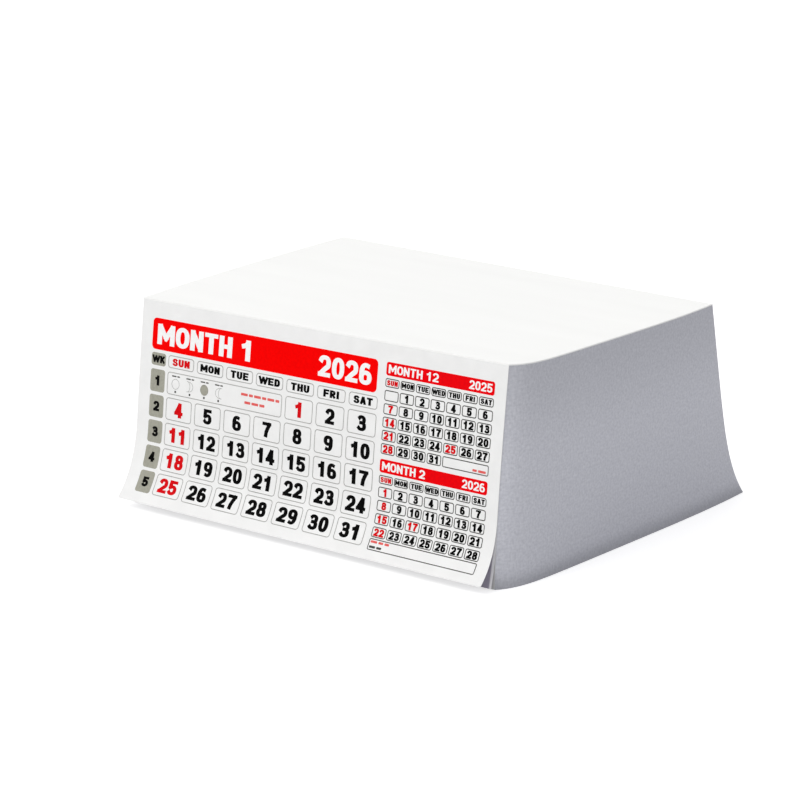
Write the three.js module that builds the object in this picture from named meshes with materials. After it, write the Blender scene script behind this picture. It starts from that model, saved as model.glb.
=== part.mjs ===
// A tear-off calendar block. A thick pile of calendar leaves is glued along the top edge.
// It stands on the leaves' lower edges, which have spread at the front and at the back.
// The first two leaves have come away from the pile at the bottom.
// Millimetres, +Z up, the printed side faces -Y, the origin is under the middle of the pile.
import * as THREE from "three";

// The leaves
const leafWidth = 145;
const leafHeight = 64.5;
const paperThickness = 0.1;
const leafClearance = 0.05;

// The pile, and how its lower edges have spread
const pileDepth = 98;
const frontLean = 9;
const frontCurl = -1.7;
const frontCurlPower = 3;
const backLean = 12;
const backCurl = 7.2;
const backCurlPower = 6;
const backLeftRise = 3.2;

// How far the middle of the pile stands out at its two ends
const rightBulge = 5;
const rightBulgeRun = 4.5;
const rightBulgeFall = 2.2;
const leftBulge = 3.4;
const leftBulgeRun = 30;
const leftBulgeFall = 0.9;
const bulgeFallPower = 6;

// The glue film on the top edge
const glueThickness = 0.35;
const glueClearance = 0.02;

// How much of each loose leaf has parted from the pile, measured up from its foot, how far its foot
// reaches, and how much less the front leaf reaches at its middle
const peelPower = 2.2;
const frontPeelLengthLeft = 26.5;
const frontPeelLengthRight = 20.5;
const frontPeelReachLeft = 7.6;
const frontPeelReachRight = 6.3;
const frontPeelMiddleSlack = 0.8;
const secondPeelLengthLeft = 20.5;
const secondPeelLengthRight = 18;
const secondPeelReachLeft = 2.2;
const secondPeelReachRight = 1.5;

// The print: margins, the two panels and their rows
const inkThickness = 0.05;
const inkClearance = 0.05;
const leftMargin = 4.95;
const rightMargin = 4.2;
const topMargin = 5.2;
const bottomMargin = 3.6;
const sidePanelWidth = 40.1;
const panelGap = 3.2;
const monthBarHeight = 9.9;
const sideBarHeight = 4;
const barCorner = 1.5;
const sideBarCorner = 0.8;
const headingHeight = 4;
const headingGap = 1.1;
const weekColumnWidth = 6.2;
const dayRows = 5;
const dayRowGap = 1;
const cellCorner = 0.9;
const sidePanelGap = 2;
const daysInWeek = 7;
const cellGap = 1.2;
const sideRows = 6;
const sideBarGap = 0.8;
const ruleWidth = 0.3;

const paperWhite = new THREE.MeshStandardMaterial({ color: 0xf3f3f1, roughness: 0.75, metalness: 0 });
const pileEdgeGrey = new THREE.MeshStandardMaterial({ color: 0xd5d7dd, roughness: 0.9, metalness: 0 });
const glueWhite = new THREE.MeshStandardMaterial({ color: 0xfafafa, roughness: 0.5, metalness: 0 });
const inkRed = new THREE.MeshStandardMaterial({ color: 0xf00707, roughness: 0.45, metalness: 0 });
const ruleGrey = new THREE.MeshStandardMaterial({ color: 0x8e8e8c, roughness: 0.6, metalness: 0 });
const inkGrey = new THREE.MeshStandardMaterial({ color: 0xa5a499, roughness: 0.6, metalness: 0 });

// A box cut into a grid, each of whose points is sent to its place by a function of three shares.
// The shares run from 0 to 1: left to right, front to back, and top to bottom.
function mappedBox(columns, layers, rows, place) {
  const geometry = new THREE.BoxGeometry(1, 1, 1, columns, layers, rows);
  const points = geometry.getAttribute("position");
  const share = (value, steps) => Math.round((value + 0.5) * steps) / steps;
  for (let i = 0; i < points.count; i++) {
    const across = share(points.getX(i), columns);
    const inward = share(points.getY(i), layers);
    const down = 1 - share(points.getZ(i), rows);
    points.setXYZ(i, ...place(across, inward, down));
  }
  geometry.computeVertexNormals();
  return geometry;
}

function piece(name, geometry, material) {
  const mesh = new THREE.Mesh(geometry, material);
  mesh.name = name;
  return mesh;
}

const lerp = THREE.MathUtils.lerp;

// The pile

// How far the pile's front or back has spread at a share of its height below the top.
const frontSpread = (down) => frontLean * down + frontCurl * down ** frontCurlPower;
const backSpread = (down) => backLean * down + backCurl * down ** backCurlPower;

// How far an end of the pile stands out at a share of its depth behind the front.
const bulge = (inward, height, run, fall) =>
  height * (1 - Math.exp((-inward * pileDepth) / run)) - fall * inward ** bulgeFallPower;

const pileLeft = (inward) => -leafWidth / 2 - bulge(inward, leftBulge, leftBulgeRun, leftBulgeFall);
const pileRight = (inward) => leafWidth / 2 + bulge(inward, rightBulge, rightBulgeRun, rightBulgeFall);
const pileX = (across, inward) => lerp(pileLeft(inward), pileRight(inward), across);
const pileTop = (across, inward) => leafHeight + backLeftRise * inward * (1 - across);

// Steps crowd towards the front, where the ends turn in most.
const pileStep = (inward) => inward ** 1.7;

function pilePoint(across, step, down) {
  const inward = pileStep(step);
  const front = -pileDepth / 2 - frontSpread(down);
  const back = pileDepth / 2 + backSpread(down);
  return [pileX(across, inward), lerp(front, back, inward), pileTop(across, inward) * (1 - down)];
}

const pileDepthSteps = 26;
const pileHeightSteps = 16;
const leafPile = piece("leaf_pile", mappedBox(1, pileDepthSteps, pileHeightSteps, pilePoint), pileEdgeGrey);

// The loose leaves

// The curve of a leaf, followed down its own length so that the sheet isn't stretched.
// It gives the point on the leaf's back at a distance from the left and the top edge, and the lean there.
const curveSteps = 80;
function leafCurve(standoff, peel) {
  const forward = (across, distance) => {
    const down = distance / leafHeight;
    const length = lerp(peel.lengthLeft, peel.lengthRight, across);
    const slack = 4 * across * (1 - across) * peel.middleSlack;
    const reach = lerp(peel.reachLeft, peel.reachRight, across) - slack;
    const peeled = Math.max(0, (distance - leafHeight + length) / length);
    return standoff + frontSpread(down) + reach * peeled ** peelPower;
  };
  return (fromLeft, fromTop) => {
    const across = fromLeft / leafWidth;
    const step = fromTop / curveSteps;
    const probe = leafHeight / curveSteps;
    let height = leafHeight;
    let lean = Math.asin((forward(across, probe) - forward(across, 0)) / probe);
    for (let i = 0; i < curveSteps && step > 0; i++) {
      lean = Math.asin((forward(across, (i + 1) * step) - forward(across, i * step)) / step);
      height -= step * Math.cos(lean);
    }
    return { x: fromLeft - leafWidth / 2, y: -pileDepth / 2 - forward(across, fromTop), z: height, lean };
  };
}

// A point at a lift above the back of a leaf, square to the sheet.
function liftedPoint(curve, fromLeft, fromTop, lift) {
  const { x, y, z, lean } = curve(fromLeft, fromTop);
  return [x, y - lift * Math.cos(lean), z + lift * Math.sin(lean)];
}

const leafColumns = 10;
const leafRows = 30;
function leafSheet(curve) {
  return mappedBox(leafColumns, 1, leafRows, (across, inward, down) =>
    liftedPoint(curve, across * leafWidth, down * leafHeight, paperThickness * (1 - inward)),
  );
}

const leafPitch = paperThickness + leafClearance;
const secondLeafCurve = leafCurve(leafClearance, {
  lengthLeft: secondPeelLengthLeft,
  lengthRight: secondPeelLengthRight,
  reachLeft: secondPeelReachLeft,
  reachRight: secondPeelReachRight,
  middleSlack: 0,
});
const frontLeafCurve = leafCurve(leafClearance + leafPitch, {
  lengthLeft: frontPeelLengthLeft,
  lengthRight: frontPeelLengthRight,
  reachLeft: frontPeelReachLeft,
  reachRight: frontPeelReachRight,
  middleSlack: frontPeelMiddleSlack,
});
const secondLeaf = piece("second_leaf", leafSheet(secondLeafCurve), paperWhite);
const frontLeaf = piece("front_leaf", leafSheet(frontLeafCurve), paperWhite);

// The glue film lies over the pile's top and reaches forward over the two loose leaves.
const glueReach = 2 * leafPitch;
function gluePoint(across, step, down) {
  const rim = step === 0 ? 0 : (step * (pileDepthSteps + 1) - 1) / pileDepthSteps;
  const inward = pileStep(Math.max(0, rim));
  const y = step === 0 ? -pileDepth / 2 - glueReach : lerp(-pileDepth / 2, pileDepth / 2, inward);
  return [pileX(across, inward), y, pileTop(across, inward) + glueClearance + glueThickness * (1 - down)];
}
const glueFilm = piece("glue_film", mappedBox(1, pileDepthSteps + 1, 1, gluePoint), glueWhite);

// The print on the front leaf

// A printed field with round corners, which follows the leaf's bend.
const fieldColumns = 6;
const fieldRowPitch = 1.3;
function printedField(left, top, width, height, corner) {
  const rows = Math.max(6, Math.round(height / fieldRowPitch));
  return mappedBox(fieldColumns, 1, rows, (across, inward, down) => {
    const eased = (1 - Math.cos(Math.PI * down)) / 2;
    const fromTop = top + height * eased;
    const fromEnd = Math.min(eased, 1 - eased) * height;
    const shortfall = Math.max(0, corner - fromEnd);
    const inset = corner - Math.sqrt(corner ** 2 - shortfall ** 2);
    const fromLeft = lerp(left + inset, left + width - inset, across);
    const lift = paperThickness + inkClearance + inkThickness * (1 - inward);
    return liftedPoint(frontLeafCurve, fromLeft, fromTop, lift);
  });
}

// A ruled frame of crossing lines, in one piece. The lines are given as pairs of edges, in order.
function ruledFrame(uprights, levels) {
  const positions = [];
  const corner = (i, j, lift) => liftedPoint(frontLeafCurve, uprights[i], levels[j], lift);
  const back = paperThickness + inkClearance;
  const front = back + inkThickness;
  const quad = (a, b, c, d) => positions.push(...a, ...b, ...c, ...a, ...c, ...d);
  const inked = (i, j) =>
    i >= 0 && j >= 0 && i < uprights.length - 1 && j < levels.length - 1 && (i % 2 === 0 || j % 2 === 0);
  for (let i = 0; i < uprights.length - 1; i++) {
    for (let j = 0; j < levels.length - 1; j++) {
      if (!inked(i, j)) continue;
      const around = [[i, j + 1], [i + 1, j + 1], [i + 1, j], [i, j]];
      quad(...around.map(([m, n]) => corner(m, n, front)));
      quad(...around.toReversed().map(([m, n]) => corner(m, n, back)));
      const wall = (i1, j1, i2, j2) =>
        quad(corner(i1, j1, back), corner(i2, j2, back), corner(i2, j2, front), corner(i1, j1, front));
      if (!inked(i, j - 1)) wall(i + 1, j, i, j);
      if (!inked(i, j + 1)) wall(i, j + 1, i + 1, j + 1);
      if (!inked(i - 1, j)) wall(i, j, i, j + 1);
      if (!inked(i + 1, j)) wall(i + 1, j + 1, i + 1, j);
    }
  }
  const geometry = new THREE.BufferGeometry();
  geometry.setAttribute("position", new THREE.Float32BufferAttribute(positions, 3));
  geometry.computeVertexNormals();
  return geometry;
}

// The edges of evenly spaced lines, from one side of a frame to the other.
function lineEdges(from, to, spaces) {
  const pitch = (to - from - ruleWidth) / spaces;
  const starts = Array.from({ length: spaces + 1 }, (_, i) => from + i * pitch);
  return starts.flatMap((start) => [start, start + ruleWidth]);
}

const sidePanelLeft = leafWidth - rightMargin - sidePanelWidth;
const mainPanelWidth = sidePanelLeft - panelGap - leftMargin;
const headingTop = topMargin + monthBarHeight + headingGap;
const dayRowsTop = headingTop + headingHeight + headingGap;
const dayRowPitch = (leafHeight - bottomMargin + dayRowGap - dayRowsTop) / dayRows;
const dayCellHeight = dayRowPitch - dayRowGap;
const nextMonthTop = (topMargin + leafHeight - bottomMargin + sidePanelGap) / 2;

const print = [
  piece("month_bar", printedField(leftMargin, topMargin, mainPanelWidth, monthBarHeight, barCorner), inkRed),
  piece(
    "previous_month_bar",
    printedField(sidePanelLeft, topMargin, sidePanelWidth, sideBarHeight, sideBarCorner),
    inkRed,
  ),
  piece(
    "next_month_bar",
    printedField(sidePanelLeft, nextMonthTop, sidePanelWidth, sideBarHeight, sideBarCorner),
    inkRed,
  ),
  piece(
    "week_heading_cell",
    printedField(leftMargin, headingTop, weekColumnWidth, headingHeight, cellCorner),
    inkGrey,
  ),
];

// The month frames hold a line of headings over the rows of days.
const headingEdges = (from, to) => lineEdges(from, to, 1).slice(0, 2);
function monthFrame(left, right, top, headingBottom, bottom, rows) {
  const levels = [...headingEdges(top, headingBottom), ...lineEdges(headingBottom, bottom, rows)];
  return ruledFrame(lineEdges(left, right, daysInWeek), levels);
}
const mainPanelRight = leftMargin + mainPanelWidth;
const mainDaysLeft = leftMargin + weekColumnWidth + cellGap;
const leafFoot = leafHeight - bottomMargin;
const sideFrame = (barTop, bottom) => {
  const top = barTop + sideBarHeight + sideBarGap;
  const headingBottom = top + (bottom - top) / (sideRows + 1);
  return monthFrame(sidePanelLeft, sidePanelLeft + sidePanelWidth, top, headingBottom, bottom, sideRows);
};
print.push(
  piece(
    "month_frame",
    monthFrame(mainDaysLeft, mainPanelRight, headingTop, dayRowsTop, leafFoot, dayRows),
    ruleGrey,
  ),
  piece("previous_month_frame", sideFrame(topMargin, nextMonthTop - sidePanelGap), ruleGrey),
  piece("next_month_frame", sideFrame(nextMonthTop, leafFoot), ruleGrey),
);
for (let week = 0; week < dayRows; week++) {
  const top = dayRowsTop + week * dayRowPitch;
  const field = printedField(leftMargin, top, weekColumnWidth, dayCellHeight, cellCorner);
  print.push(piece(`week_cell_${week + 1}`, field, inkGrey));
}

const calendarBlock = new THREE.Group();
calendarBlock.add(leafPile, secondLeaf, frontLeaf, glueFilm, ...print);

export default calendarBlock;
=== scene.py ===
"""A tear-off calendar block on a white studio floor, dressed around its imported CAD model.

Lengths are in millimetres until a mesh is made. On the front leaf a place is given flat: x from the
leaf's left edge, y downwards from its top edge as a negative number, and z out of the paper.
"""

from __future__ import annotations

import logging
import math
from collections.abc import Sequence
from dataclasses import dataclass
from enum import Enum

import bmesh
import bpy
import numpy as np
from mathutils import Matrix, Vector

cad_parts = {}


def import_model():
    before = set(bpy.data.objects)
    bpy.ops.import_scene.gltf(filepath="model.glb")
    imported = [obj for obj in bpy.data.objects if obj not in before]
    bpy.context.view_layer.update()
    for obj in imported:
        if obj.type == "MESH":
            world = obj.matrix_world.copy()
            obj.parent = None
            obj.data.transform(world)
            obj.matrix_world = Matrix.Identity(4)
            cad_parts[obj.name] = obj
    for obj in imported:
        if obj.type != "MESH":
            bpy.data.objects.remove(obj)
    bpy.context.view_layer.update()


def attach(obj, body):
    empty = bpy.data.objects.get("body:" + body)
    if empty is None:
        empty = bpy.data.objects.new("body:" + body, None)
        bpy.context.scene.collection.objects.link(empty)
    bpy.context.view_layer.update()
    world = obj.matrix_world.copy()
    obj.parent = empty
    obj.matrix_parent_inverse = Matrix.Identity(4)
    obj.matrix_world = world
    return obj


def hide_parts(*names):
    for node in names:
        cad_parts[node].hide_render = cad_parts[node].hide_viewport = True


MM = 0.001
SHARP_DEGREES = 30
WEEKDAYS = 7
log = logging.getLogger("calendar_block")

Points = np.ndarray
Faces = list[tuple[int, ...]]


def linear(hex_colour: str, alpha: float = 1.0) -> tuple[float, float, float, float]:
    """Turns an sRGB hex colour into the linear colour that a shader takes.

    Args:
        hex_colour: six hex digits, without a hash.
        alpha: the fourth value.

    Returns:
        Linear red, green, blue and alpha.
    """
    parts = [int(hex_colour[i : i + 2], 16) / 255 for i in (0, 2, 4)]
    return (*(p / 12.92 if p <= 0.04045 else ((p + 0.055) / 1.055) ** 2.4 for p in parts), alpha)


def add_node(
    tree: bpy.types.NodeTree, kind: str, settings: dict[str, object] | None = None, **inputs: object
) -> bpy.types.Node:
    """Adds a node with its settings, input values and links.

    Args:
        tree: the node tree to add to.
        kind: the node's type name.
        settings: properties of the node itself.
        **inputs: values or output sockets by input name, with _ for a space, or by number as in n0.

    Returns:
        The new node.
    """
    node = tree.nodes.new(kind)
    for key, value in (settings or {}).items():
        setattr(node, key, value)
    for key, value in inputs.items():
        socket = node.inputs[int(key[1:])] if key[1:].isdigit() else node.inputs[key.replace("_", " ")]
        if isinstance(value, bpy.types.NodeSocket):
            tree.links.new(value, socket)
        else:
            socket.default_value = value
    return node


def make_mesh(name: str, points: Points, faces: Faces) -> bpy.types.Mesh:
    """Makes a mesh in metres from points in millimetres.

    Args:
        name: the mesh's name.
        points: its points in millimetres.
        faces: its faces, as numbers of points.

    Returns:
        The mesh.
    """
    mesh = bpy.data.meshes.new(name)
    mesh.from_pydata((np.asarray(points) * MM).tolist(), [], faces)
    mesh.update()
    return mesh


def smooth(mesh: bpy.types.Mesh) -> None:
    """Shades a mesh smoothly and keeps its real edges sharp."""
    mesh.shade_smooth()
    mesh.set_sharp_from_angle(angle=math.radians(SHARP_DEGREES))


def make_piece(name: str, mesh: bpy.types.Mesh, slot: str, *nodes: str) -> bpy.types.Object:
    """Puts a finished mesh into the scene as a piece of the block.

    Args:
        name: the piece's name.
        mesh: its mesh, in place and with its materials.
        slot: the record's material slot, which is not used.
        *nodes: the CAD nodes that it stands for.

    Returns:
        The piece.
    """
    piece = bpy.data.objects.new(name, mesh)
    bpy.context.scene.collection.objects.link(piece)
    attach(piece, "root")
    if nodes:
        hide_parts(*nodes)
    log.info("%s: %d faces", name, len(mesh.polygons))
    return piece


def box_surface(columns: int, layers: int, rows: int) -> tuple[Points, Faces]:
    """Cuts a box's surface into a grid.

    Args:
        columns: steps from left to right.
        layers: steps from front to back.
        rows: steps from top to bottom.

    Returns:
        Points as shares from 0 to 1 of (across, inward, down), and faces that point outwards once the last
        share counts downwards.
    """
    counts = np.array([columns, layers, rows])
    quads = []
    for axis in range(3):
        b, c = (axis + 1) % 3, (axis + 2) % 3
        i, j = np.meshgrid(np.arange(counts[b]), np.arange(counts[c]), indexing="ij")
        for end in (0, 1):
            quad = np.zeros((i.size, 4, 3), int)
            for k, (di, dj) in enumerate(((0, 0), (1, 0), (1, 1), (0, 1))):
                quad[:, k, axis] = end * counts[axis]
                quad[:, k, b] = (i + di).ravel()
                quad[:, k, c] = (j + dj).ravel()
            quads.append(quad[:, ::-1] if end else quad)
    corners = np.concatenate(quads)
    steps, index = np.unique(corners.reshape(-1, 3), axis=0, return_inverse=True)
    return steps / counts, [tuple(face) for face in index.reshape(-1, 4).tolist()]


# Finishes


class Finish:
    """Makes a Principled material whose colour and bump come from its own nodes."""

    IOR = 1.45

    name: str
    colour: str
    roughness: float
    sheen: float

    def start(self) -> tuple[bpy.types.Material, bpy.types.NodeTree, bpy.types.Node]:
        """Makes the material with its constant values.

        Returns:
            The material, its nodes and its Principled shader.
        """
        material = bpy.data.materials.new(self.name)
        material.use_nodes = True
        tree = material.node_tree
        shader = tree.nodes["Principled BSDF"]
        shader.inputs["Roughness"].default_value = self.roughness
        shader.inputs["IOR"].default_value = self.IOR
        shader.inputs["Specular IOR Level"].default_value = self.sheen
        return material, tree, shader

    @staticmethod
    def mottle(
        tree: bpy.types.NodeTree,
        shader: bpy.types.Node,
        pattern: bpy.types.NodeSocket,
        span: tuple[float, float],
        shades: tuple[str, str],
    ) -> bpy.types.NodeSocket:
        """Runs a pattern of 0 to 1 through two shades to the base colour.

        Args:
            tree: the material's nodes.
            shader: its Principled shader.
            pattern: the pattern's output.
            span: where on the pattern the first shade ends and the second starts.
            shades: the two hex colours.

        Returns:
            The colour's output.
        """
        ramp = add_node(tree, "ShaderNodeValToRGB", n0=pattern)
        for stop, place, shade in zip(ramp.color_ramp.elements, span, shades):
            stop.position, stop.color = place, linear(shade)
        tree.links.new(ramp.outputs["Color"], shader.inputs["Base Color"])
        return ramp.outputs["Color"]

    @staticmethod
    def emboss(
        tree: bpy.types.NodeTree, shader: bpy.types.Node, pattern: bpy.types.NodeSocket, depth_mm: float
    ) -> None:
        """Gives the surface a bump of a real depth from a pattern."""
        bump = add_node(tree, "ShaderNodeBump", Height=pattern, Distance=depth_mm * MM, Strength=1.0)
        tree.links.new(bump.outputs["Normal"], shader.inputs["Normal"])


@dataclass(frozen=True)
class OffsetPaper(Finish):
    """Uncoated white offset paper: matte, with a faint cloudy formation and a fibre grain."""

    name: str = "uncoated offset paper"
    colour: str = "F4F4F2"
    shade: str = "EFEFED"
    roughness: float = 0.8
    sheen: float = 0.3
    cloud_mm: float = 6.0
    cloud_span: tuple[float, float] = (0.3, 0.7)
    fibre_mm: float = 0.35
    fibre_depth_mm: float = 0.01

    def build(self) -> bpy.types.Material:
        """Builds the material with clouds in its colour and fibres in its bump.

        Returns:
            The material.
        """
        material, tree, shader = self.start()
        place = add_node(tree, "ShaderNodeTexCoord").outputs["Object"]
        cloud = add_node(tree, "ShaderNodeTexNoise", Vector=place, Scale=1 / (self.cloud_mm * MM), Detail=3.0)
        self.mottle(tree, shader, cloud.outputs["Fac"], self.cloud_span, (self.shade, self.colour))
        fibre = add_node(tree, "ShaderNodeTexNoise", Vector=place, Scale=1 / (self.fibre_mm * MM), Detail=2.0)
        self.emboss(tree, shader, fibre.outputs["Fac"], self.fibre_depth_mm)
        return material


@dataclass(frozen=True)
class NextLeafPaper(Finish):
    """The next leaf, seen in the gap behind the front one: painted lilac-grey shade, with a pale right
    margin.
    """

    name: str = "next leaf with painted gap shade"
    colour: str = "FBFBFD"
    # painted shade: the lilac-grey that stands for the front leaf's shadow in the gap
    tint: str = "A9A4B4"
    roughness: float = 0.8
    sheen: float = 0.2
    margin_mm: tuple[float, float] = (71.5, 71.9)
    fibre_mm: float = 0.35
    fibre_depth_mm: float = 0.01

    def build(self) -> bpy.types.Material:
        """Builds the material, whose painted shade stops at the margin.

        Returns:
            The material.
        """
        material, tree, shader = self.start()
        place = add_node(tree, "ShaderNodeTexCoord").outputs["Object"]
        across = add_node(tree, "ShaderNodeSeparateXYZ", Vector=place).outputs["X"]
        # the painted shade gives way to the paper's white past this margin
        inner, outer = (edge * MM for edge in self.margin_mm)
        margin = add_node(tree, "ShaderNodeMapRange", Value=across, From_Min=inner, From_Max=outer)
        self.mottle(tree, shader, margin.outputs["Result"], (0.0, 1.0), (self.tint, self.colour))
        fibre = add_node(tree, "ShaderNodeTexNoise", Vector=place, Scale=1 / (self.fibre_mm * MM), Detail=2.0)
        self.emboss(tree, shader, fibre.outputs["Fac"], self.fibre_depth_mm)
        return material


@dataclass(frozen=True)
class TrimmedEdges(Finish):
    """Guillotined leaf edges: matte, cloudy, faintly lined, greyer than the sheet partly as painted shade.

    Single leaves are 0.08 mm, too fine to show, so the lines are drawn as coarse as groups of five. The
    edges darken upwards with painted shade, and at the foot with a painted contact shadow.
    """

    name: str = "guillotined paper edges"
    # the edges' own grey, made darker and cooler as painted shade
    colour: str = "E0E1E7"
    shade: str = "CDCED5"
    roughness: float = 0.9
    sheen: float = 0.2
    line_mm: float = 0.4
    line_squeeze: float = 0.2
    line_depth_mm: float = 0.02
    cloud_mm: float = 0.75
    cloud_share: float = 0.62
    cloud_span: tuple[float, float] = (0.36, 0.64)
    # painted shade towards the top and a painted contact shadow at the foot: heights in mm, and the share of
    # colour kept
    glued_mm: tuple[float, float] = (34.0, 66.0)
    glued_shade: float = 0.84
    foot_mm: float = 6.0
    foot_shade: float = 0.78

    def build(self) -> bpy.types.Material:
        """Builds the material from the piece's own map, whose first axis counts through the leaves.

        Returns:
            The material.
        """
        material, tree, shader = self.start()
        leaf_place = add_node(tree, "ShaderNodeUVMap", {"uv_map": "leaf_map"}).outputs["UV"]
        long = add_node(tree, "ShaderNodeMapping", Vector=leaf_place, Scale=(1.0, self.line_squeeze, 1.0))
        lines, clouds = (
            add_node(tree, "ShaderNodeTexNoise", Vector=place, Scale=1 / size, Detail=detail).outputs["Fac"]
            for place, size, detail in (
                (long.outputs[0], self.line_mm * MM, 2.0),
                (leaf_place, self.cloud_mm * MM, 6.0),
            )
        )
        both = add_node(tree, "ShaderNodeMix", Factor=self.cloud_share, A=lines, B=clouds)
        shades = (self.shade, self.colour)
        colour = self.mottle(tree, shader, both.outputs["Result"], self.cloud_span, shades)
        place = add_node(tree, "ShaderNodeTexCoord").outputs["Object"]
        height = add_node(tree, "ShaderNodeSeparateXYZ", Vector=place).outputs["Z"]
        # painted shade darkens the edges towards the top, and a painted contact shadow darkens the foot
        ends = [(*self.glued_mm, 1.0, self.glued_shade), (0.0, self.foot_mm, self.foot_shade, 1.0)]
        for low, high, low_shade, high_shade in ends:
            band = add_node(
                tree,
                "ShaderNodeMapRange",
                {"interpolation_type": "SMOOTHSTEP"},
                Value=height,
                From_Min=low * MM,
                From_Max=high * MM,
                To_Min=low_shade,
                To_Max=high_shade,
            )
            scale = {"operation": "SCALE"}
            dimmed = add_node(tree, "ShaderNodeVectorMath", scale, Vector=colour, Scale=band.outputs[0])
            colour = dimmed.outputs["Vector"]
        tree.links.new(colour, shader.inputs["Base Color"])
        self.emboss(tree, shader, lines, self.line_depth_mm)
        return material


@dataclass(frozen=True)
class PaddingGlue(Finish):
    """White padding glue brushed over the top edge: smooth, a little uneven and with a soft sheen."""

    name: str = "brushed padding glue"
    colour: str = "FDFDFA"
    shade: str = "FAFAF7"
    roughness: float = 0.6
    sheen: float = 0.5
    stroke_mm: float = 9.0
    stroke_squeeze: float = 0.15
    stroke_span: tuple[float, float] = (0.25, 0.7)
    stroke_depth_mm: float = 0.04

    def build(self) -> bpy.types.Material:
        """Builds the material with long, low brush strokes along the leaves.

        Returns:
            The material.
        """
        material, tree, shader = self.start()
        place = add_node(tree, "ShaderNodeTexCoord").outputs["Object"]
        long = add_node(tree, "ShaderNodeMapping", Vector=place, Scale=(self.stroke_squeeze, 1.0, 1.0))
        size = self.stroke_mm * MM
        stroke = add_node(tree, "ShaderNodeTexNoise", Vector=long.outputs[0], Scale=1 / size, Detail=4.0)
        self.mottle(tree, shader, stroke.outputs["Fac"], self.stroke_span, (self.shade, self.colour))
        self.emboss(tree, shader, stroke.outputs["Fac"], self.stroke_depth_mm)
        return material


@dataclass(frozen=True)
class OffsetInk(Finish):
    """Offset ink on uncoated paper: it sinks in, so it is matte, and its solid areas are a little uneven."""

    name: str
    colour: str
    shade: str
    roughness: float = 0.6
    sheen: float = 0.02
    speckle_mm: float = 0.8
    speckle_span: tuple[float, float] = (0.35, 0.6)

    def build(self) -> bpy.types.Material:
        """Builds the material with the faint speckle of ink that the paper took up unevenly.

        Returns:
            The material.
        """
        material, tree, shader = self.start()
        place = add_node(tree, "ShaderNodeTexCoord").outputs["Object"]
        size = self.speckle_mm * MM
        speckle = add_node(tree, "ShaderNodeTexNoise", Vector=place, Scale=1 / size, Detail=3.0)
        self.mottle(tree, shader, speckle.outputs["Fac"], self.speckle_span, (self.shade, self.colour))
        return material


class Ink(Enum):
    """The inks on the leaf: each with its name, its colour and the shade that it speckles to."""

    BAR_RED = ("bar red ink", "FF0000", "F80000")
    SIDE_BAR_RED = ("deep bar red ink", "F4040C", "E80410")
    DATE_RED = ("date red ink", "DE1018", "D00C14")
    PALE_RED = ("small red print", "E86A64", "E25C58")
    BLACK = ("black ink", "040404", "0C0C0C")
    WEEK_GREY = ("warm grey ink", "A9A89B", "A09F92")
    RULE_GREY = ("pale rule ink", "B2B2AE", "A8A8A4")
    FINE_RULE_GREY = ("dark rule ink", "4C4C48", "444440")
    BARE_WHITE = ("paper showing through", "FBFBFA", "F6F6F4")

    def build(self) -> bpy.types.Material:
        """Builds this ink's material."""
        return OffsetInk(*self.value).build()


# The pile and its leaves


@dataclass(frozen=True)
class PileShape:
    """The pile's sizes and the way its leaves have spread, as the part gives them."""

    leaf_width: float = 145.0
    leaf_height: float = 64.5
    depth: float = 98.0
    front_lean: float = 9.0
    front_curl: float = -1.7
    front_curl_power: float = 3.0
    back_lean: float = 12.0
    back_curl: float = 7.2
    back_curl_power: float = 6.0
    back_left_rise: float = 3.2
    right_bulge: tuple[float, float, float] = (5.0, 4.5, 2.2)
    left_bulge: tuple[float, float, float] = (3.4, 30.0, 0.9)
    bulge_fall_power: float = 6.0

    def front_spread(self, down: Points) -> Points:
        """How far the front has moved forward at a share of the height below the top."""
        return self.front_lean * down + self.front_curl * down**self.front_curl_power

    def back_spread(self, down: Points) -> Points:
        """How far the back has moved backward at a share of the height below the top."""
        return self.back_lean * down + self.back_curl * down**self.back_curl_power

    def bulge(self, inward: Points, sizes: tuple[float, float, float]) -> Points:
        """How far an end stands out at a share of the depth, from its height, run and fall."""
        height, run, fall = sizes
        return height * (1 - np.exp(-inward * self.depth / run)) - fall * inward**self.bulge_fall_power

    def place_x(self, across: Points, inward: Points) -> Points:
        """The left-to-right place at shares across and inward."""
        left = -self.leaf_width / 2 - self.bulge(inward, self.left_bulge)
        right = self.leaf_width / 2 + self.bulge(inward, self.right_bulge)
        return left + (right - left) * across

    def top(self, across: Points, inward: Points) -> Points:
        """The height of the glued edge at shares across and inward."""
        return self.leaf_height + self.back_left_rise * inward * (1 - across)

    def place(self, shares: Points) -> Points:
        """Sends points of a box surface to their places on the pile.

        Args:
            shares: points as shares of (across, inward, down).

        Returns:
            Points in millimetres.
        """
        across, inward, down = shares.T
        front = -self.depth / 2 - self.front_spread(down)
        back = self.depth / 2 + self.back_spread(down)
        y = front + (back - front) * inward
        return np.column_stack([self.place_x(across, inward), y, self.top(across, inward) * (1 - down)])


@dataclass(frozen=True)
class Peel:
    """How a loose leaf has come away: how much of it, up from its foot, and how far its foot reaches."""

    length_left: float
    length_right: float
    reach_left: float
    reach_right: float
    middle_slack: float = 0.0
    power: float = 2.2


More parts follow.
